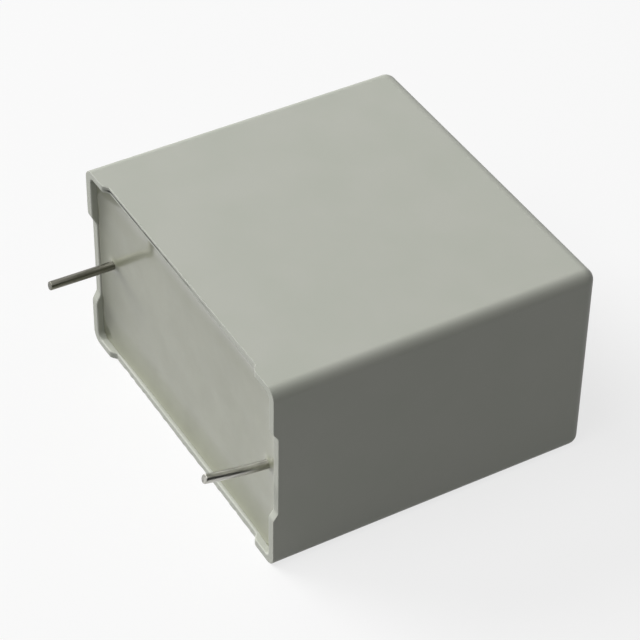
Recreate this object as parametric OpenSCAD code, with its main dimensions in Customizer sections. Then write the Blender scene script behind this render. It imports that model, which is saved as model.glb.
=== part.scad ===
// Box film capacitor, lying on one large side as it comes to rest on a table.
// X runs along the length from one lead to the other, Y from the open lead end to the closed end,
// Z up through the thickness. The origin is the middle of the large side that it lies on.

/* [Case] */
// Length of the moulded case, along the line of the leads
case_length = 33; // [30.5:0.5:40]
// Height of the case above a circuit board, from the seating feet to the closed end
case_height = 30.4; // [24:0.1:40]
// Thickness of the case between its two large sides
case_thickness = 19.3; // [15:0.1:26]
// Wall of the two narrow ends, at the rim
end_wall = 0.85; // [0.6:0.05:1.2]
// Wall of the two large sides, at the rim
side_wall = 0.65; // [0.5:0.05:1.2]
// Wall of the closed end
closed_wall = 1.1; // [0.8:0.1:1.8]
// Rounding of every outer edge except the rim
edge_radius = 1.05; // [0.3:0.05:1.2]
// Rounding of the inner corners and of the cavity floor
cavity_radius = 0.6; // [0.5:0.05:1.2]
// Draft on the inner walls, in degrees, so that the case leaves its mould core
core_draft = 0.4; // [0:0.1:0.8]

/* [Seating feet] */
// How far the four corner feet stand beyond the rim
foot_height = 0.45; // [0.3:0.05:0.8]
// Length of each foot along the large side
foot_length = 3.1; // [2:0.1:5]
// Length of each foot along the narrow end
foot_width = 4.8; // [3:0.1:6]
// Length over which each foot slopes down to the rim
foot_slope = 0.6; // [0.3:0.05:1]

/* [Potting] */
// Depth of the resin surface below the plane of the feet
potting_depth = 1.15; // [1:0.05:2]
// Radius of the fillet that the resin climbs up the walls with
meniscus_radius = 0.45; // [0.15:0.05:0.45]
// Radius of the fillet that the resin climbs up each lead with
collar_radius = 0.2; // [0.1:0.02:0.3]
// Thickness that the fillet on the walls thins out to
wall_lip = 0.05; // [0.02:0.01:0.1]
// Thickness that the fillet round each lead thins out to
collar_lip = 0.08; // [0.06:0.01:0.15]

/* [Leads] */
// Distance between the two leads where they leave the resin
lead_pitch = 27.5; // [27:0.1:27.8]
// Diameter of the lead wire
lead_diameter = 0.8; // [0.6:0.05:1]
// Wire beyond the plane of the feet on the left (-X) lead
left_lead_reach = 5.25; // [4:0.05:30]
// Wire beyond the plane of the feet on the right (+X) lead, measured along the wire
right_lead_reach = 4.85; // [4:0.05:30]
// Height of the left lead above the middle of the thickness
left_lead_offset = 0.35; // [-1:0.05:1]
// Height of the right lead above the middle of the thickness
right_lead_offset = -0.55; // [-1:0.05:1]
// Angle in degrees that the left lead is bent up by, where it leaves the resin
left_bend_angle = 1; // [0:1:12]
// Angle in degrees that the right lead is bent up by, where it leaves the resin
right_bend_angle = 10; // [0:1:12]

/* [Film element] */
// Thickness of the metal sprayed on each end of the winding
spray_thickness = 0.5; // [0.3:0.05:0.7]
// Margin of bare film round the sprayed metal
spray_margin = 0.4; // [0.2:0.05:1]
// Resin between the winding and the large sides of the case
winding_side_gap = 0.7; // [0.4:0.1:2]
// Resin between the winding and the closed end
winding_back_gap = 1; // [0.6:0.1:3]
// Resin over the winding at the lead end
winding_cover = 2; // [1:0.1:4]
// Thickness of the slit that is left where the winding mandrel was
core_slit = 0.4; // [0.2:0.05:0.8]
// How far the pressed end of each lead runs along the sprayed metal
weld_reach = 11; // [6:0.5:18]
// Thickness of the wire where it is pressed flat
weld_thickness = 0.45; // [0.3:0.05:0.6]
// How far the flat of the pressed end fades out into the round wire
press_lap = 0.15; // [0.1:0.05:0.2]

/* [Fits] */
// Clearance between the resin and each piece that it is cast against
potting_clearance = 0.01; // [0.005:0.005:0.03]

/* [Hidden] */
$fn = 64;
cut = 1;                                        // how far a cutter runs past what it cuts
left = -1;
right = 1;

mid_thickness = case_thickness / 2;
cavity_length = case_length - 2 * end_wall;
cavity_thickness = case_thickness - 2 * side_wall;
cavity_depth = case_height - closed_wall;
cavity_taper = cavity_depth * tan(core_draft);  // what each inner wall comes in by, rim to floor

winding_front = potting_depth + winding_cover;
winding_back = cavity_depth - winding_back_gap;
winding_height = winding_back - winding_front;
winding_thickness = cavity_thickness - 2 * cavity_taper - 2 * winding_side_gap;
winding_middle = (winding_front + winding_back) / 2;
slit_height = winding_height - winding_thickness;

lead_radius = lead_diameter / 2;
pressed_width = PI * lead_radius * lead_radius / weld_thickness;    // as much metal as the round wire
wire_start = potting_depth - collar_radius / 2; // half way up the resin collar
pressed_start = wire_start - press_lap;
pressed_end = winding_front + spray_margin + weld_reach;
spray_face = (lead_pitch - weld_thickness) / 2; // outer face of the sprayed metal, from the middle
film_width = 2 * (spray_face - spray_thickness);

CASE_COLOUR = "#b5b8ad";
RESIN_COLOUR = "#a8aa9e";
FILM_COLOUR = "#c9cbc4";
SPRAY_COLOUR = "#8f9293";
LEAD_COLOUR = "#9a9b98";

// Puts a piece that is drawn with its seating plane at y = 0 and the middle of its thickness
// at z = 0 where it belongs in the part.
module in_place() {
    translate([0, -case_height / 2, mid_thickness]) children();
}

// A rectangle that stands on y = 0, with its two far corners rounded.
module arched_profile(width, height, radius) {
    translate([-width / 2, 0]) square([width, height - radius]);
    if (width > 2 * radius)
        translate([radius - width / 2, 0]) square([width - 2 * radius, height]);
    for (side = [left, right])
        translate([side * (width / 2 - radius), height - radius]) circle(radius);
}

// A block from y = 0 to its height, with rounded upright corners and a rounded far edge: two
// crossed slabs and a turned post in each corner. The far edge may not be rounder than a corner.
module rounded_block(length, thickness, height, corner_radius, end_radius) {
    linear_extrude(thickness - 2 * corner_radius, center = true)
        arched_profile(length, height, end_radius);
    rotate([0, 90, 0])
        linear_extrude(length - 2 * corner_radius, center = true)
            arched_profile(thickness, height, end_radius);
    for (x = [left, right], z = [-1, 1])
        translate([x * (length / 2 - corner_radius), 0, z * (thickness / 2 - corner_radius)])
            rotate([-90, 0, 0]) rotate_extrude()
                intersection() {
                    arched_profile(2 * corner_radius, height, end_radius);
                    square([corner_radius, height]);
                }
}

// Half of the inside of a mould core seen from one side: it narrows by the draft as it goes in.
module core_profile(width) {
    mouth = width / 2 + cut * tan(core_draft);
    floor_half = width / 2 - cavity_taper;
    polygon([[-mouth, -cut], [mouth, -cut], [floor_half, cavity_depth], [-floor_half, cavity_depth]]);
}

// The space inside the case, open past the rim. Clearance makes it smaller on every wall.
module cavity(clearance = 0) {
    length = cavity_length - 2 * clearance;
    thickness = cavity_thickness - 2 * clearance;
    intersection() {
        linear_extrude(thickness + cut, center = true) core_profile(length);
        rotate([0, 90, 0]) linear_extrude(length + cut, center = true) core_profile(thickness);
        translate([0, -cut, 0])
            rounded_block(length, thickness, cavity_depth + cut - clearance, cavity_radius, cavity_radius);
    }
}

// The gap between two feet, with the slope that each foot comes down by.
module foot_gap_profile(gap) {
    polygon([
        [-gap / 2, -cut], [gap / 2, -cut], [gap / 2, 0], [gap / 2 - foot_slope, foot_height],
        [foot_slope - gap / 2, foot_height], [-gap / 2, 0]
    ]);
}

module case() {
    color(CASE_COLOUR) in_place() difference() {
        rounded_block(case_length, case_thickness, case_height, edge_radius, edge_radius);
        cavity();
        linear_extrude(case_thickness + cut, center = true)
            foot_gap_profile(case_length - 2 * foot_length);
        rotate([0, 90, 0]) linear_extrude(case_length + cut, center = true)
            foot_gap_profile(case_thickness - 2 * foot_width);
    }
}

// A flattened roll along X: flat on its two large sides and round at both edges.
module pressed_roll(length, height, thickness) {
    rotate([0, 90, 0]) linear_extrude(length, center = true) {
        square([thickness, height - thickness], center = true);
        for (end = [-1, 1])
            translate([0, end * (height - thickness) / 2]) circle(d = thickness);
    }
}

module winding_body(clearance = 0) {
    translate([0, winding_middle, 0])
        pressed_roll(film_width + 2 * clearance, winding_height + 2 * clearance,
                     winding_thickness + 2 * clearance);
}

module spray_body(side, clearance = 0) {
    margin = 2 * (clearance - spray_margin);
    translate([side * (film_width + spray_thickness) / 2, winding_middle, 0])
        pressed_roll(spray_thickness + 2 * clearance, winding_height + margin,
                     winding_thickness + margin);
}

module film_winding() {
    color(FILM_COLOUR) in_place() difference() {
        winding_body();
        translate([0, winding_middle, 0])
            pressed_roll(film_width + cut, slit_height, core_slit);
    }
}

module end_spray(side) {
    color(SPRAY_COLOUR) in_place() spray_body(side);
}

module left_end_spray() {
    end_spray(left);
}

module right_end_spray() {
    end_spray(right);
}

// The wire inside the resin is pressed flat, and lies on the sprayed metal that it is welded to.
module pressed_wire(clearance) {
    rounding = pressed_width / 2 + clearance;
    rotate([0, 90, 0])
        linear_extrude(weld_thickness + 2 * clearance, center = true) {
            translate([-rounding, pressed_start + pressed_width / 2])
                square([2 * rounding, pressed_end - pressed_start - pressed_width]);
            for (end = [pressed_start + pressed_width / 2, pressed_end - pressed_width / 2])
                translate([0, end]) circle(rounding);
        }
}

// One lead, from its welded end to its cut tip. The bend turns the free wire up, towards +Z.
module lead_body(side, offset, reach, bend, clearance = 0) {
    translate([side * lead_pitch / 2, 0, offset]) {
        pressed_wire(clearance);
        translate([0, wire_start, 0]) rotate([90 - bend, 0, 0])
            cylinder(h = wire_start + reach, r = lead_radius + clearance);
    }
}

module left_lead() {
    color(LEAD_COLOUR) in_place()
        lead_body(left, left_lead_offset, left_lead_reach, left_bend_angle);
}

module right_lead() {
    color(LEAD_COLOUR) in_place()
        lead_body(right, right_lead_offset, right_lead_reach, right_bend_angle);
}

// The ring of resin that climbs a lead, on the flat surface of the potting.
module resin_collar(side, offset) {
    outer = lead_radius + collar_lip + collar_radius;
    translate([side * lead_pitch / 2, potting_depth, offset]) rotate([90, 0, 0]) rotate_extrude()
        difference() {
            translate([0, -cut / 2]) square([outer, collar_radius + cut / 2]);
            translate([outer, collar_radius]) circle(collar_radius);
        }
}

// What the resin fills: the cavity up to the surface, which rises to the walls and the leads.
module resin_body() {
    lip_start = potting_depth - meniscus_radius;
    difference() {
        cavity(potting_clearance);
        translate([0, -2 * cut, 0])
            rounded_block(cavity_length - 2 * wall_lip, cavity_thickness - 2 * wall_lip,
                          potting_depth + 2 * cut, cavity_radius, meniscus_radius);
        translate([-case_length / 2, lip_start - case_height, -mid_thickness])
            cube([case_length, case_height, case_thickness]);
    }
    resin_collar(left, left_lead_offset);
    resin_collar(right, right_lead_offset);
}

module potting_resin() {
    color(RESIN_COLOUR) in_place() difference() {
        resin_body();
        winding_body(potting_clearance);
        for (side = [left, right])
            spray_body(side, potting_clearance);
        lead_body(left, left_lead_offset, left_lead_reach, left_bend_angle, potting_clearance);
        lead_body(right, right_lead_offset, right_lead_reach, right_bend_angle, potting_clearance);
    }
}

case();
potting_resin();
film_winding();
left_end_spray();
right_end_spray();
left_lead();
right_lead();
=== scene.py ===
"""A box film capacitor that lies on one large side: its looks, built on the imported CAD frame."""

import math

import bpy
import numpy as np
from mathutils import Matrix, Vector


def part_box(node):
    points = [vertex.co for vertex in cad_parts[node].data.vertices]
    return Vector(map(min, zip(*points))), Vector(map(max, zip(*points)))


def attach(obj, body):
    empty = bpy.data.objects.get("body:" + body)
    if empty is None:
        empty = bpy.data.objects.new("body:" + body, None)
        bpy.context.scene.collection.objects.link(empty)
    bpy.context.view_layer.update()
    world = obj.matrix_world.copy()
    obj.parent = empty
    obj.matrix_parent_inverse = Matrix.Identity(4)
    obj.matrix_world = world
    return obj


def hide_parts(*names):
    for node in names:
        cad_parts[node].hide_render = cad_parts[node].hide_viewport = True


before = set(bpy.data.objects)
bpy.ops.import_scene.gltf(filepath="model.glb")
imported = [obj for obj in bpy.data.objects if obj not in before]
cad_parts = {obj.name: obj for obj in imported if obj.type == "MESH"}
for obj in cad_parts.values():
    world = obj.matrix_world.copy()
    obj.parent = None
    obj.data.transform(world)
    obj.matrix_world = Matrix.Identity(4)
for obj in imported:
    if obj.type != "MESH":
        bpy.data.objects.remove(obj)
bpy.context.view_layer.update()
scene = bpy.context.scene
MM = 0.001


# --- Camera -----------------------------------------------------------------------------------

CAMERA_AIM = Vector((0.0688, -1.4392, 8.7502)) * MM
CAMERA_DISTANCE = 221.373 * MM
CAMERA_AZIMUTH = math.radians(59.3155)    # from -Y towards +X
CAMERA_ELEVATION = math.radians(40.7148)
CAMERA_ROLL = math.radians(1.1012)
CAMERA_LENS = 145.005                     # on a 36 mm sensor


def make_camera():
    """Stands at an azimuth and an elevation from its aim, and is turned about its own axis by the roll."""
    data = bpy.data.cameras.new("camera")
    data.sensor_width = 36
    data.lens = CAMERA_LENS
    data.clip_start = 0.005
    camera = bpy.data.objects.new("camera", data)
    scene.collection.objects.link(camera)
    toward = Vector((
        math.sin(CAMERA_AZIMUTH) * math.cos(CAMERA_ELEVATION),
        -math.cos(CAMERA_AZIMUTH) * math.cos(CAMERA_ELEVATION),
        math.sin(CAMERA_ELEVATION),
    ))
    turn = toward.to_track_quat("Z", "Y").to_matrix() @ Matrix.Rotation(CAMERA_ROLL, 3, "Z")
    camera.matrix_world = Matrix.Translation(CAMERA_AIM + toward * CAMERA_DISTANCE) @ turn.to_4x4()
    scene.camera = camera


# --- Sizes in millimetres, drawn with the feet at y = 0 and the closed end at y = HEIGHT --------

case_low, case_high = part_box("case")
HALF_LENGTH = (case_high[0] - case_low[0]) / 2 / MM
HALF_THICKNESS = (case_high[2] - case_low[2]) / 2 / MM
HEIGHT = (case_high[1] - case_low[1]) / MM
ORIGIN = np.array([(case_low[0] + case_high[0]) / 2, case_low[1], (case_low[2] + case_high[2]) / 2])

EDGE_RADIUS = 1.05                        # outside, all round
END_WALL = 0.85
SIDE_WALL = 0.65
CLOSED_WALL = 1.1
CORE_RADIUS = 0.6
CORE_DRAFT = math.tan(math.radians(0.4))
FOOT_HEIGHT = 0.45
RIM_BEVEL = 0.035                         # outer edge of the rim
INNER_BEVEL = 0.12                        # inner edge of the rim
SUPPORT = 0.06                            # a ring this close to a round keeps the flat beside it flat

RESIN_DEPTH = 1.15
DISH_DEPTH = 0.2                          # how much deeper the resin lies in its middle
RESIN_GAP = 0.01

WIRE_RADIUS = 0.4
FLAT_THICKNESS = 0.45
FLAT_WIDTH = math.pi * WIRE_RADIUS ** 2 / FLAT_THICKNESS
FLAT_END = 14.55
FLAT_POWER = 5.0                          # how square the pressed wire is: 2 is an ellipse
ROOT = RESIN_DEPTH - 0.1                  # where the free wire starts, just under the resin
TIP_SHEAR = 0.05
LEAD_X = 13.75
LEFT_LEAD = {"x": -LEAD_X, "z": 0.35, "length": 6.23, "bend": 1.0, "curl": 0.6}
RIGHT_LEAD = {"x": LEAD_X, "z": -0.55, "length": 5.9, "bend": 10.0, "curl": 3.0}


# --- Meshes -----------------------------------------------------------------------------------


def rough_line(places, spacing, seed):
    """Even random numbers from -1 to 1, one every spacing, joined by smooth steps and read at places."""
    values = np.random.default_rng(seed).uniform(-1, 1, 512)
    spot = np.asarray(places) / spacing + 200
    low = np.floor(spot).astype(int)
    t = spot - low
    t = t * t * (3 - 2 * t)
    return values[low % 512] * (1 - t) + values[(low + 1) % 512] * t


def soft_ramp(t):
    """0 below t = 0 and 1 above t = 1, straight between, with both bends rounded: half of 1 plus the
    difference between two hyperbolas, one with its corner at 0 and one at 1."""
    rounding = 0.12
    return (np.sqrt(t * t + rounding ** 2) - np.sqrt((t - 1) ** 2 + rounding ** 2) + 1) / 2


def make_piece(name, points, faces, node):
    """Puts points, in millimetres from the drawing's own origin, into a mesh whose faces look outwards."""
    places = ORIGIN + points * MM
    volume = 0
    for part in faces:
        for k in range(1, part.shape[1] - 1):
            a, b, c = places[part[:, 0]], places[part[:, k]], places[part[:, k + 1]]
            volume += np.einsum("ij,ij->", a, np.cross(b, c))
    if volume < 0:
        faces = [part[:, ::-1] for part in faces]
    mesh = bpy.data.meshes.new(name)
    mesh.from_pydata(places.tolist(), [], [face for part in faces for face in part.tolist()])
    mesh.shade_smooth()
    piece = bpy.data.objects.new(name, mesh)
    scene.collection.objects.link(piece)
    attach(piece, "root")
    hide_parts(node)
    return piece


def ring_stack(rings, first_pole, last_pole):
    """Points and faces of a skin over closed rings, each joined to the next, with a fan to each pole."""
    rows, columns, _ = rings.shape
    points = np.concatenate([rings.reshape(-1, 3), [first_pole, last_pole]])
    here = np.arange(rows * columns).reshape(rows, columns)
    beside = np.roll(here, -1, axis=1)
    quads = np.stack([here[:-1], beside[:-1], beside[1:], here[1:]], axis=-1).reshape(-1, 4)
    pole = np.full(columns, rows * columns)
    first = np.stack([beside[0], here[0], pole], axis=-1)
    last = np.stack([here[-1], beside[-1], pole + 1], axis=-1)
    return points, [quads, first, last]


# --- Case -------------------------------------------------------------------------------------

CORNER = HALF_LENGTH - EDGE_RADIUS        # where the straight of a large side ends
CORNER_ACROSS = HALF_THICKNESS - EDGE_RADIUS
KEPT = 14.0                               # up to here, columns keep their place on every ring
KEPT_ACROSS = 7.0
ARC = np.radians(np.arange(1, 12) * 7.5)
COLUMN = 0.12                             # from one column to the next


def places_along(reach, kept):
    """Column places along one side: even steps, and one close to each end to hold the round corner."""
    inner = np.linspace(-kept, kept, int(2 * kept / COLUMN) + 1)
    outer = np.array([kept + 0.5, reach - SUPPORT, reach])
    return np.concatenate([-outer[::-1], inner, outer])


ALONG = places_along(CORNER, KEPT)
ACROSS = places_along(CORNER_ACROSS, KEPT_ACROSS)


def stretched(places, kept, reach, new_reach):
    """Places past the kept stretch move in proportion, so that the last one comes to the new reach."""
    past = np.clip((np.abs(places) - kept) / (reach - kept), 0, None)
    return np.where(past > 0, np.sign(places) * (kept + past * (new_reach - kept)), places)


def case_ring(half_length, half_thickness, radius):
    """x and z of a rounded rectangle: round +X +Z corner, top, -X +Z corner, -X end, and so on."""
    x = stretched(ALONG, KEPT, CORNER, half_length - radius)
    z = stretched(ACROSS, KEPT_ACROSS, CORNER_ACROSS, half_thickness - radius)
    end, side = np.full(len(z), half_length), np.full(len(x), half_thickness)
    cx, cz = half_length - radius, half_thickness - radius
    c, s = radius * np.cos(ARC), radius * np.sin(ARC)
    return (
        np.concatenate([cx + c, x[::-1], -cx - s, -end, -cx - c, x, cx + s, end]),
        np.concatenate([cz + s, side, cz + c, z[::-1], -cz - s, -side, -cz - c, z]),
    )


# The gap between two feet, along the top and the bottom, at the far end (-X) and at the near end (+X):
# where it starts, how long its slope is there, where it ends, and how long its slope is there.
LONG_GAP = (-13.35, 0.57, 13.35, 0.57)
FAR_GAP = (-5.05, 0.83, 4.65, 0.95)
NEAR_GAP = (-4.25, 0.57, 5.25, 0.6)
MARK_END, MARK_FADE = 8, 18               # the witness line is gone at x = 8, and whole 18 mm before it


def foot_gap(places, start, start_slope, end, end_slope):
    """0 on the feet and 1 between them: down by one slope after start, and up by the other before end."""
    return soft_ramp((places - start) / start_slope) * soft_ramp((end - places) / end_slope)


def rim_line():
    """For each column: how far the rim lies below the feet, how strong the witness line of the tool is on
    the top rim, and how ragged the bottom rim is."""
    arc, long_zero, end_zero = np.zeros(len(ARC)), np.zeros(len(ALONG)), np.zeros(len(ACROSS))
    long_gap = foot_gap(ALONG, *LONG_GAP)
    far_gap, near_gap = foot_gap(ACROSS, *FAR_GAP), foot_gap(ACROSS, *NEAR_GAP)
    mark = long_gap * np.clip((MARK_END - ALONG) / MARK_FADE, 0, 1)
    gap = np.concatenate([arc, long_gap[::-1], arc, far_gap[::-1], arc, long_gap, arc, near_gap])
    lip = np.concatenate([arc, mark[::-1], arc, end_zero, arc, long_zero, arc, end_zero])
    rag = np.concatenate([arc, long_zero, arc, end_zero, arc, long_gap, arc, end_zero])
    around = np.arange(len(gap)) * COLUMN
    lip = lip * (0.8 + 0.35 * rough_line(around, 0.9, 3))
    return FOOT_HEIGHT * gap, lip, rag * rough_line(around, 0.45, 5)


def make_case():
    """A moulded box as one closed skin. It runs from the middle of the closed end, round its edge, down
    the outer wall to the rim, over it, and down the drafted inner wall to the middle of the cavity floor.
    Each ring is a rounded rectangle, set in from the outside by its own distance. On the rim each column
    has its own height: that of a foot, a slope or the gap. The witness line is a bell-shaped groove."""
    rim, lip, rag = rim_line()
    flat = np.zeros(len(rim))
    rows, marks = [], []

    def add(inset_end, inset_side, radius, y, mark=0):
        x, z = case_ring(HALF_LENGTH - inset_end, HALF_THICKNESS - inset_side, max(radius, 0.01))
        rows.append(np.stack([x, y + flat, z], axis=-1))
        marks.append(mark + flat)

    add(EDGE_RADIUS + SUPPORT, EDGE_RADIUS + SUPPORT, 0, HEIGHT)
    for angle in np.radians(np.linspace(0, 90, 13)):
        inset = EDGE_RADIUS * (1 - math.sin(angle))
        add(inset, inset, EDGE_RADIUS - inset, HEIGHT - EDGE_RADIUS * (1 - math.cos(angle)))
    for y in (HEIGHT - EDGE_RADIUS - SUPPORT, 20.0, 10.0, 3.0, 1.2):
        add(0, 0, EDGE_RADIUS, y)
    add(0, 0, EDGE_RADIUS, rim + RIM_BEVEL + 0.04)
    for angle in np.radians(np.linspace(0, 90, 5)):
        inset = RIM_BEVEL * (1 - math.cos(angle))
        add(inset, inset, EDGE_RADIUS - inset, rim + RIM_BEVEL * (1 - math.sin(angle)) + 0.03 * rag)
    for share in (0.1, 0.2, 0.3, 0.38, 0.44, 0.5, 0.55, 0.6, 0.65, 0.7, 0.76):
        groove = math.exp(-((share - 0.56) / 0.15) ** 2)
        dip = 0.14 * groove * lip + 0.045 * rag * math.exp(-(share / 0.4) ** 2)
        radius = EDGE_RADIUS + (CORE_RADIUS - EDGE_RADIUS) * share
        add(END_WALL * share, SIDE_WALL * share, radius, rim + dip, groove * lip)
    for angle in np.radians(np.linspace(0, 90, 5)):
        back, drop = INNER_BEVEL * (1 - math.sin(angle)), INNER_BEVEL * (1 - math.cos(angle))
        add(END_WALL - back, SIDE_WALL - back, CORE_RADIUS + back, rim + drop)
    floor = HEIGHT - CLOSED_WALL
    for y in (rim + INNER_BEVEL + 0.05, rim + 0.4, 1.6, 8.0, 20.0, floor - CORE_RADIUS):
        draft = CORE_DRAFT * np.mean(y)
        add(END_WALL + draft, SIDE_WALL + draft, CORE_RADIUS, y)
    draft = CORE_DRAFT * floor
    for angle in np.radians(np.linspace(0, 90, 7)[1:]):
        inset = CORE_RADIUS * (1 - math.cos(angle))
        add(END_WALL + draft + inset, SIDE_WALL + draft + inset, CORE_RADIUS - inset,
            floor - CORE_RADIUS * (1 - math.sin(angle)))
    points, faces = ring_stack(np.array(rows), (0, HEIGHT, 0), (0, floor, 0))
    piece = make_piece("moulded_case", points, faces, "case")
    # The witness attribute carries the strength of the groove, by which the case material paints shade into
    # it.
    witness = piece.data.attributes.new("witness", "FLOAT", "POINT")
    witness.data.foreach_set("value", np.append(np.array(marks).ravel(), [0, 0]).astype(np.float32))
    return piece


# --- Potting ----------------------------------------------------------------------------------


def grid_places(reach, centres):
    """Places from -reach to reach: 0.3 mm apart, and closer near both ends and near each centre."""
    near = np.concatenate([c + np.linspace(-1.2, 1.2, 49) for c in centres])
    ends = reach - np.geomspace(0.02, 2.0, 24)
    places = np.concatenate([np.linspace(-reach, reach, int(2 * reach / 0.3) + 1), near, ends, -ends])
    places = np.unique(np.round(places[np.abs(places) <= reach], 4))
    return places[np.concatenate([[True], np.diff(places) > 0.012])]


def resin_level(x, z, reach_x, reach_z):
    """Depth of the resin below the feet. It is level in the middle and curves up to each wall, first
    slowly and then steeply, and climbs each lead: every rise fades by the exponential of the distance.
    The slow curve is longest at the -X end, and it is capped so that the resin stays below the rim. A
    bell-shaped dip runs along both long walls. Two crossing sines are the faint waves of the cure."""
    to_far, to_near, to_side = reach_x + x, reach_x - x, reach_z - np.abs(z)
    rise = 0.58 * np.exp(-to_far / 2.4) + 0.38 * np.exp(-to_near / 1.9)
    rise += 0.38 * np.exp(-to_side / 1.1) - 0.07 * np.exp(-((to_side - 2.2) / 1.0) ** 2)
    rise = np.minimum(rise, 0.55)
    rise = rise + 0.22 * np.exp(-np.minimum(np.minimum(to_far, to_near), to_side) / 0.4)
    for lead in (LEFT_LEAD, RIGHT_LEAD):
        reach = np.hypot(x - lead["x"], z - lead["z"])
        rise = rise + 0.2 * np.exp(-np.clip(reach - WIRE_RADIUS, 0, None) / 0.22)
    waves = 0.006 * np.sin(0.9 * x + 1.3 * np.sin(0.5 * z)) + 0.005 * np.sin(1.1 * z + 0.7 * x + 1.0)
    return RESIN_DEPTH + DISH_DEPTH - rise + waves


def make_resin():
    """The cast block: a fine net for the free surface, and below its edge a skirt down the inside of
    the case, closed at the cavity floor. The net's corners are drawn in onto the cavity's corner arcs.
    It has no hollow, so the wound roll lies inside it."""
    reach_x = HALF_LENGTH - END_WALL - RESIN_GAP - CORE_DRAFT
    reach_z = HALF_THICKNESS - SIDE_WALL - RESIN_GAP - CORE_DRAFT
    places_x = grid_places(reach_x, (LEFT_LEAD["x"], RIGHT_LEAD["x"]))
    places_z = grid_places(reach_z, (LEFT_LEAD["z"], RIGHT_LEAD["z"]))
    x, z = np.meshgrid(places_x, places_z, indexing="ij")
    radius = CORE_RADIUS - RESIN_GAP
    over_x = np.clip(np.abs(x) - reach_x + radius, 0, None)
    over_z = np.clip(np.abs(z) - reach_z + radius, 0, None)
    over = np.hypot(over_x, over_z)
    pull = np.where((over_x > 0) & (over_z > 0) & (over > radius), radius / np.maximum(over, 1e-9), 1)
    x = np.where(over_x > 0, np.sign(x) * (reach_x - radius + over_x * pull), x)
    z = np.where(over_z > 0, np.sign(z) * (reach_z - radius + over_z * pull), z)
    net = np.stack([x, resin_level(x, z, reach_x, reach_z), z], axis=-1)
    rows, columns, _ = net.shape
    here = np.arange(rows * columns).reshape(rows, columns)
    quads = np.stack([here[:-1, :-1], here[1:, :-1], here[1:, 1:], here[:-1, 1:]], axis=-1).reshape(-1, 4)
    edge = np.concatenate([here[:-1, 0], here[-1, :-1], here[:0:-1, -1], here[0, :0:-1]])
    flat_net = net.reshape(-1, 3)
    floor = HEIGHT - CLOSED_WALL - RESIN_GAP
    skirt, links, above = [], [], edge
    for y, shrink in ((2.5, 0), (floor - 0.6, 0.19), (floor - 0.1, 0.35), (floor, 0.8)):
        ring = flat_net[edge].copy()
        ring[:, 0] *= 1 - shrink / reach_x
        ring[:, 2] *= 1 - shrink / reach_z
        ring[:, 1] = y
        below = rows * columns + len(skirt) * len(edge) + np.arange(len(edge))
        links.append(np.stack([np.roll(above, -1), above, below, np.roll(below, -1)], axis=-1))
        skirt.append(ring)
        above = below
    points = np.concatenate([flat_net, *skirt, [(0, floor, 0)]])
    pole = np.full(len(edge), len(points) - 1)
    fan = np.stack([np.roll(above, -1), above, pole], axis=-1)
    return make_piece("cast_potting", points, [quads, *links, fan], "potting_resin")


# --- Leads ------------------------------------------------------------------------------------


def make_lead(name, lead, node):
    """A wire as rings along its middle line: round outside the resin, pressed flat along the sprayed
    metal, and sheared off at the tip. The free wire rises by its bend, and curls by a few degrees more
    from its root to its tip. Each ring is a superellipse, from power 2 when round to 5 when flat."""
    length = lead["length"]
    free = np.concatenate([np.linspace(0, length - 0.06, 60), length - np.array([0.03, 0.01, 0])])
    angle = np.radians(lead["bend"] + lead["curl"] * (2 * free / length - 1))
    steps = np.diff(free, prepend=0)
    y_free = ROOT - np.cumsum(steps * np.cos(angle))
    z_free = lead["z"] + np.cumsum(steps * np.sin(angle))
    end_rounding = FLAT_END - np.array([0, 0.05, 0.2, 0.5])
    y_flat = np.concatenate([end_rounding, np.linspace(13, 2.4, 12), np.linspace(2.2, 1.2, 9)])
    turn = np.linspace(0, 2 * math.pi, 48, endpoint=False)
    c, s = np.cos(turn), np.sin(turn)
    y = np.concatenate([y_flat, y_free])
    z = np.concatenate([np.full(len(y_flat), lead["z"]), z_free])
    angle = np.concatenate([np.zeros(len(y_flat)), angle])
    flatness = np.clip((y - 1.25) / 0.8, 0, 1)
    flatness = flatness * flatness * (3 - 2 * flatness)
    power = 2 / (2 + (FLAT_POWER - 2) * flatness)
    half_x = WIRE_RADIUS + (FLAT_THICKNESS / 2 - WIRE_RADIUS) * flatness
    half_z = WIRE_RADIUS + (FLAT_WIDTH / 2 - WIRE_RADIUS) * flatness
    half_z[:4] *= (0.2, 0.55, 0.85, 1)
    tip = np.ones(len(y))
    tip[-3:] = (0.985, 0.96, 0.92)
    across = (half_x * tip)[:, None] * np.sign(c) * np.abs(c) ** power[:, None]
    up = (half_z * tip)[:, None] * np.sign(s) * np.abs(s) ** power[:, None]
    shear = np.zeros(len(y))
    shear[-4:] = TIP_SHEAR
    slant = shear[:, None] * s
    rings = np.stack([
        lead["x"] + across,
        y[:, None] + up * np.sin(angle)[:, None] + slant * np.cos(angle)[:, None],
        z[:, None] + up * np.cos(angle)[:, None] - slant * np.sin(angle)[:, None],
    ], axis=-1)
    points, faces = ring_stack(rings, (lead["x"], FLAT_END, lead["z"]), (lead["x"], y[-1] + 0.02, z[-1]))
    return make_piece(name, points, faces, node)


# --- Materials --------------------------------------------------------------------------------


def linear(colour):
    """An sRGB hex colour as linear red, green, blue and alpha."""
    values = [int(colour[i:i + 2], 16) / 255 for i in (1, 3, 5)]
    return tuple(v / 12.92 if v <= 0.04045 else ((v + 0.055) / 1.055) ** 2.4 for v in values) + (1,)


def add_node(tree, kind, settings=None, inputs=None):
    """Adds a node. Each input is a plain value, or an output socket to link."""
    node = tree.nodes.new(kind)
    for name, value in (settings or {}).items():
        setattr(node, name, value)
    for name, value in (inputs or {}).items():
        if isinstance(value, bpy.types.NodeSocket):
            tree.links.new(value, node.inputs[name])
        else:
            node.inputs[name].default_value = value
    return node


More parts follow.
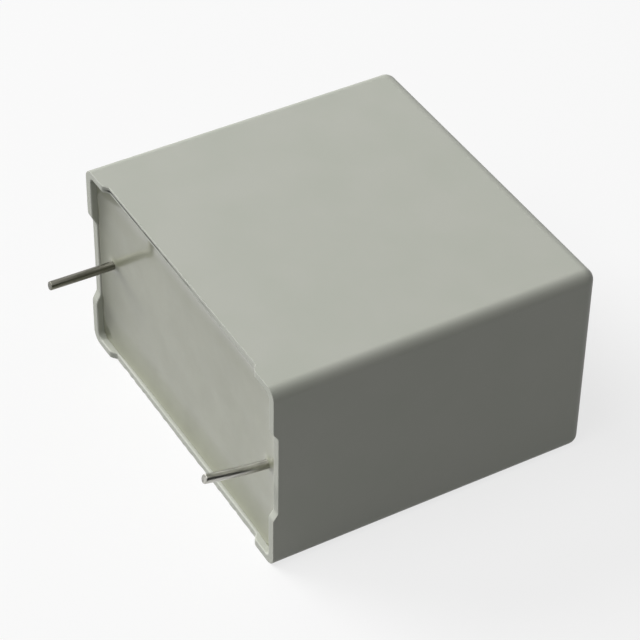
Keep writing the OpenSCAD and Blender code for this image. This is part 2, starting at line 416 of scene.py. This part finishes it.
def new_material(name):
    """A material, its node tree, its Principled shader and the Object coordinates."""
    material = bpy.data.materials.new(name)
    material.use_nodes = True
    tree = material.node_tree
    place = add_node(tree, "ShaderNodeTexCoord").outputs["Object"]
    return material, tree, tree.nodes["Principled BSDF"], place


def blotches(tree, place, size, colours):
    """Two colours in soft blotches of a size in millimetres."""
    inputs = {"Vector": place, "Scale": 1 / (size * MM), "Detail": 3}
    noise = add_node(tree, "ShaderNodeTexNoise", inputs=inputs)
    ramp = add_node(tree, "ShaderNodeValToRGB", inputs={"Fac": noise.outputs["Fac"]})
    for element, position, colour in zip(ramp.color_ramp.elements, (0.35, 0.65), colours):
        element.position = position
        element.color = linear(colour)
    return ramp.outputs["Color"]


def grain(tree, place, size, height, detail=2, under=None):
    """A bumpy normal: grains of a size and a height in millimetres, on top of another normal if given."""
    inputs = {"Vector": place, "Scale": 1 / (size * MM), "Detail": detail}
    noise = add_node(tree, "ShaderNodeTexNoise", inputs=inputs)
    inputs = {"Height": noise.outputs["Fac"], "Distance": height * MM, "Strength": 1.0}
    if under is not None:
        inputs["Normal"] = under
    return add_node(tree, "ShaderNodeBump", inputs=inputs).outputs["Normal"]


def moulded_polyester():
    """Glass-filled polyester, moulded in a spark-eroded steel tool: an even, satin grey with a grain that
    softens every highlight, faint cloudy flow marks, and walls that are very slightly uneven. The witness
    attribute paints shade into the groove of the tool's witness line: a dark line that stands in for the
    shadow in it."""
    material, tree, shader, place = new_material("moulded_glass_filled_polyester")
    clean = blotches(tree, place, 5.0, ("#b8bbb0", "#bbbdb3"))
    # Painted shade: the witness attribute mixes the colour towards near black, #30312c, along the groove of
    # the witness line, in place of the groove's own shadow.
    groove_painted_shade = add_node(tree, "ShaderNodeAttribute", {"attribute_name": "witness"}).outputs["Fac"]
    strength = {"operation": "MULTIPLY", "use_clamp": True}
    groove_painted_shade = add_node(tree, "ShaderNodeMath", strength, {0: groove_painted_shade, 1: 2.2}).outputs[0]
    mix = add_node(tree, "ShaderNodeMix", {"data_type": "RGBA"}, {"Factor": groove_painted_shade})
    tree.links.new(clean, mix.inputs[6])
    mix.inputs[7].default_value = linear("#30312c")
    tree.links.new(mix.outputs[2], shader.inputs["Base Color"])
    sink = grain(tree, place, 9.0, 0.05, detail=1)
    # The tool's real grain is about 0.03 mm across. It is drawn at 0.18 mm, so that it shows.
    normal = grain(tree, place, 0.18, 0.004, under=sink)
    tree.links.new(normal, shader.inputs["Normal"])
    shader.inputs["Roughness"].default_value = 0.5
    shader.inputs["IOR"].default_value = 1.5
    return material


def cast_epoxy():
    """Mineral-filled epoxy, poured and cured in the open case: a smooth, self-levelled skin of clear resin
    over the filler, which mirrors what stands close to it, a little yellower and darker than the case."""
    material, tree, shader, place = new_material("cast_filled_epoxy")
    colour = blotches(tree, place, 2.5, ("#8b8d79", "#91937f"))
    tree.links.new(colour, shader.inputs["Base Color"])
    normal = grain(tree, place, 1.6, 0.006, detail=1)
    tree.links.new(normal, shader.inputs["Normal"])
    shader.inputs["Roughness"].default_value = 0.42
    shader.inputs["IOR"].default_value = 1.55
    shader.inputs["Coat Weight"].default_value = 0.8
    shader.inputs["Coat Roughness"].default_value = 0.14
    shader.inputs["Coat IOR"].default_value = 1.5
    return material


def tinned_wire(name, colours):
    """Copper wire, drawn and hot tinned: a grey metal with fine lines along the wire, and darker streaks
    where the tin is thin. The two wires are copies of one material in two tones: the far wire's is painted
    darker and the near wire's painted lighter, for the light that each one reflects."""
    material, tree, shader, place = new_material(name)
    # The drawing lines are finer than this on real wire. At 0.12 mm they show.
    inputs = {"Vector": place, "Scale": (1, 0.06, 1)}
    along = add_node(tree, "ShaderNodeMapping", inputs=inputs).outputs["Vector"]
    colour = blotches(tree, along, 0.25, colours)
    tree.links.new(colour, shader.inputs["Base Color"])
    tree.links.new(grain(tree, along, 0.12, 0.006), shader.inputs["Normal"])
    shader.inputs["Metallic"].default_value = 1
    shader.inputs["Roughness"].default_value = 0.3
    return material


def metallised_film():
    """Polypropylene film with a vacuum-coated metal skin, wound and pressed: bright silver grey, with the
    edges of its turns as fine lines along the roll."""
    material, tree, shader, place = new_material("wound_metallised_film")
    # One turn is some 0.01 mm thick. The lines are drawn 0.15 mm apart, so that they show.
    inputs = {"Vector": place, "Scale": (0.02, 1, 1)}
    across = add_node(tree, "ShaderNodeMapping", inputs=inputs).outputs["Vector"]
    colour = blotches(tree, across, 0.15, ("#b3b6b0", "#d2d4cd"))
    tree.links.new(colour, shader.inputs["Base Color"])
    tree.links.new(grain(tree, across, 0.15, 0.01), shader.inputs["Normal"])
    shader.inputs["Metallic"].default_value = 0.6
    shader.inputs["Roughness"].default_value = 0.35
    return material


def sprayed_zinc():
    """Zinc, flame sprayed in drops on the ends of the roll: matt mid grey, as rough as fine sandpaper."""
    material, tree, shader, place = new_material("flame_sprayed_zinc")
    colour = blotches(tree, place, 0.3, ("#7f8283", "#9b9ea0"))
    tree.links.new(colour, shader.inputs["Base Color"])
    tree.links.new(grain(tree, place, 0.15, 0.04, detail=4), shader.inputs["Normal"])
    shader.inputs["Metallic"].default_value = 0.7
    shader.inputs["Roughness"].default_value = 0.7
    return material


def dress(thing, material):
    """Gives an object one material, in place of any that it had."""
    thing.data.materials.clear()
    thing.data.materials.append(material)


# --- Stage ------------------------------------------------------------------------------------


def seen_by_eye(tree):
    """1 for a ray from the camera, or one that a mirror or a glass has turned, and 0 for any other."""
    path = add_node(tree, "ShaderNodeLightPath").outputs
    larger = {"operation": "MAXIMUM"}
    clear = {0: path["Is Camera Ray"], 1: path["Is Transmission Ray"]}
    clear = add_node(tree, "ShaderNodeMath", larger, clear).outputs[0]
    return add_node(tree, "ShaderNodeMath", larger, {0: clear, 1: path["Is Glossy Ray"]}).outputs[0]


def make_floor():
    """White paper: it glows white to the eye, keeps a soft shadow, and throws back less on the object."""
    reach = 2.0
    mesh = bpy.data.meshes.new("floor")
    corners = [(-reach, -reach, 0), (reach, -reach, 0), (reach, reach, 0), (-reach, reach, 0)]
    mesh.from_pydata(corners, [], [(0, 1, 2, 3)])
    floor = bpy.data.objects.new("floor", mesh)
    scene.collection.objects.link(floor)
    material = bpy.data.materials.new("white_paper")
    material.use_nodes = True
    tree = material.node_tree
    tree.nodes.clear()
    paper = add_node(tree, "ShaderNodeBsdfDiffuse", inputs={"Color": (0.9, 0.9, 0.9, 1)}).outputs[0]
    glow = add_node(tree, "ShaderNodeEmission", inputs={"Color": (1, 1, 1, 1), "Strength": 1.0}).outputs[0]
    white = add_node(tree, "ShaderNodeMixShader", inputs={"Fac": 0.75, 1: paper, 2: glow}).outputs[0]
    dim = add_node(tree, "ShaderNodeBsdfDiffuse", inputs={"Color": (0.25, 0.25, 0.25, 1)}).outputs[0]
    dim = add_node(tree, "ShaderNodeMixShader", inputs={"Fac": 0.08, 1: dim, 2: glow}).outputs[0]
    inputs = {"Fac": seen_by_eye(tree), 1: dim, 2: white}
    mix = add_node(tree, "ShaderNodeMixShader", inputs=inputs).outputs[0]
    add_node(tree, "ShaderNodeOutputMaterial", inputs={"Surface": mix})
    mesh.materials.append(material)


LAMP_AIM = Vector((0, 0, 0.01))
LAMP_DISTANCE = 1.2
LAMP_SIZE = 0.9


def make_lamp(name, direction, watts):
    """A round soft box that looks at the middle of the object from a direction."""
    data = bpy.data.lights.new(name, "AREA")
    data.shape = "DISK"
    data.size = LAMP_SIZE
    data.energy = watts
    lamp = bpy.data.objects.new(name, data)
    scene.collection.objects.link(lamp)
    toward = Vector(direction).normalized()
    turn = toward.to_track_quat("Z", "Y").to_matrix().to_4x4()
    lamp.matrix_world = Matrix.Translation(LAMP_AIM + toward * LAMP_DISTANCE) @ turn


def make_world():
    """A white room to the eye, and a dim one to the surfaces that it lights."""
    world = bpy.data.worlds.new("studio")
    scene.world = world
    world.use_nodes = True
    tree = world.node_tree
    tree.nodes.clear()
    dim, white = [
        add_node(tree, "ShaderNodeBackground", inputs={"Color": (1, 1, 1, 1), "Strength": level}).outputs[0]
        for level in (0.112, 1.0)
    ]
    inputs = {"Fac": seen_by_eye(tree), 1: dim, 2: white}
    mix = add_node(tree, "ShaderNodeMixShader", inputs=inputs).outputs[0]
    add_node(tree, "ShaderNodeOutputWorld", inputs={"Surface": mix})


def make_card():
    """A black card at the +X side, seen only in mirrored rays: it draws the dark line on the wires."""
    mesh = bpy.data.meshes.new("black_card")
    corners = np.array([(60, -60, 1), (60, 160, 1), (60, 160, 75), (60, -60, 75)]) * MM
    mesh.from_pydata(corners.tolist(), [], [(0, 1, 2, 3)])
    card = bpy.data.objects.new("black_card", mesh)
    scene.collection.objects.link(card)
    material = bpy.data.materials.new("black_felt")
    material.use_nodes = True
    shader = material.node_tree.nodes["Principled BSDF"]
    shader.inputs["Base Color"].default_value = linear("#0a0a0a")
    shader.inputs["Roughness"].default_value = 0.9
    mesh.materials.append(material)
    card.visible_camera = False
    card.visible_diffuse = False
    card.visible_shadow = False


make_camera()
make_floor()
make_world()
make_lamp("key", (-0.75, -0.42, 0.51), 13.15)
make_lamp("top", (0.00, -0.50, 0.87), 5.9)
make_card()
scene.view_settings.view_transform = "Standard"

zinc = sprayed_zinc()
dress(make_case(), moulded_polyester())
dress(make_resin(), cast_epoxy())
# One tinned wire in two painted tones: the far wire is painted darker and the near wire painted lighter,
# for the light that each one reflects.
far_wire_painted_shade = tinned_wire("tinned_wire_far_painted_shade", ("#67665d", "#86857c"))
dress(make_lead("left_wire", LEFT_LEAD, "left_lead"), far_wire_painted_shade)
near_wire_painted_light = tinned_wire("tinned_wire_near_painted_light", ("#979690", "#c2c1ba"))
dress(make_lead("right_wire", RIGHT_LEAD, "right_lead"), near_wire_painted_light)
dress(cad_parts["film_winding"], metallised_film())
dress(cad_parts["left_end_spray"], zinc)
dress(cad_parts["right_end_spray"], zinc)
